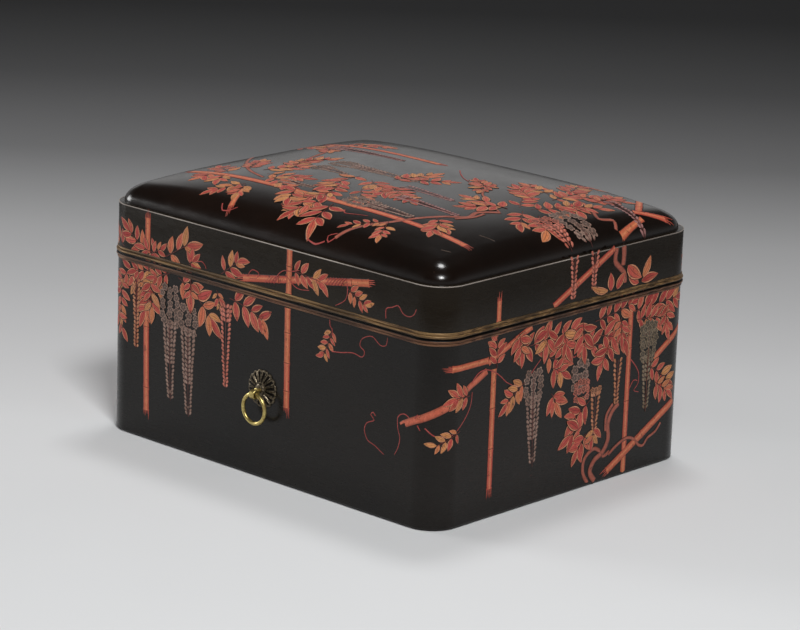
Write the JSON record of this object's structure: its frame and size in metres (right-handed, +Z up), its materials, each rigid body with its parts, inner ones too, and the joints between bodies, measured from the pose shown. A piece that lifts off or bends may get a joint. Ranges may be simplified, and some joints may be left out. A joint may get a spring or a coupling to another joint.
{
  "type": "cosmetic box",
  "caption": "Rectangular black lacquer box with rounded corners, a lift-off domed lid, metal mouth rims and a hanging cord ring on each long side.",
  "frame": {"origin": "centre of the foot, on the surface that the box stands on", "axes": "+X along the long side, -Y towards the front with its ring, +Z up"},
  "size_m": [0.3028, 0.2684, 0.1817],
  "materials": {
    "black_lacquer": "polished black-brown lacquer over wood",
    "inner_lacquer": "satin dark brown lacquer over wood",
    "gilded_rim": "worn gilt over dark metal",
    "dark_bronze": "dark patinated bronze",
    "ring_brass": "rubbed brass"
  },
  "bodies": {
    "body": {"body_bottom_board": "inner_lacquer", "body_front_board": "black_lacquer", "body_back_board": "black_lacquer", "body_left_board": "black_lacquer", "body_right_board": "black_lacquer", "body_corner_1": "black_lacquer", "body_corner_2": "black_lacquer", "body_corner_3": "black_lacquer", "body_corner_4": "black_lacquer", "body_mouth_rim": "gilded_rim", "inner_lip": "inner_lacquer", "front_rosette": "dark_bronze", "front_eye": "ring_brass", "front_washer": "dark_bronze", "back_rosette": "dark_bronze", "back_eye": "ring_brass", "back_washer": "dark_bronze"},
    "lid": {"lid_top_board": "black_lacquer", "lid_front_board": "black_lacquer", "lid_back_board": "black_lacquer", "lid_left_board": "black_lacquer", "lid_right_board": "black_lacquer", "lid_corner_1": "black_lacquer", "lid_corner_2": "black_lacquer", "lid_corner_3": "black_lacquer", "lid_corner_4": "black_lacquer", "lid_mouth_rim": "gilded_rim"},
    "front_ring": {"front_ring": "ring_brass"},
    "back_ring": {"back_ring": "ring_brass"}
  },
  "joints": [
    {"name": "lid_lift", "type": "slide", "parent": "body", "child": "lid", "axis": [0, 0, 1], "range_m": [0, 0.16]},
    {"name": "front_ring_swing", "type": "hinge", "parent": "body", "child": "front_ring", "pos_m": [0, -0.13106, 0.0576], "axis": [-1, 0, 0], "range_deg": [-18, 198]},
    {"name": "back_ring_swing", "type": "hinge", "parent": "body", "child": "back_ring", "pos_m": [0, 0.13106, 0.0576], "axis": [1, 0, 0], "range_deg": [-18, 198]}
  ]
}
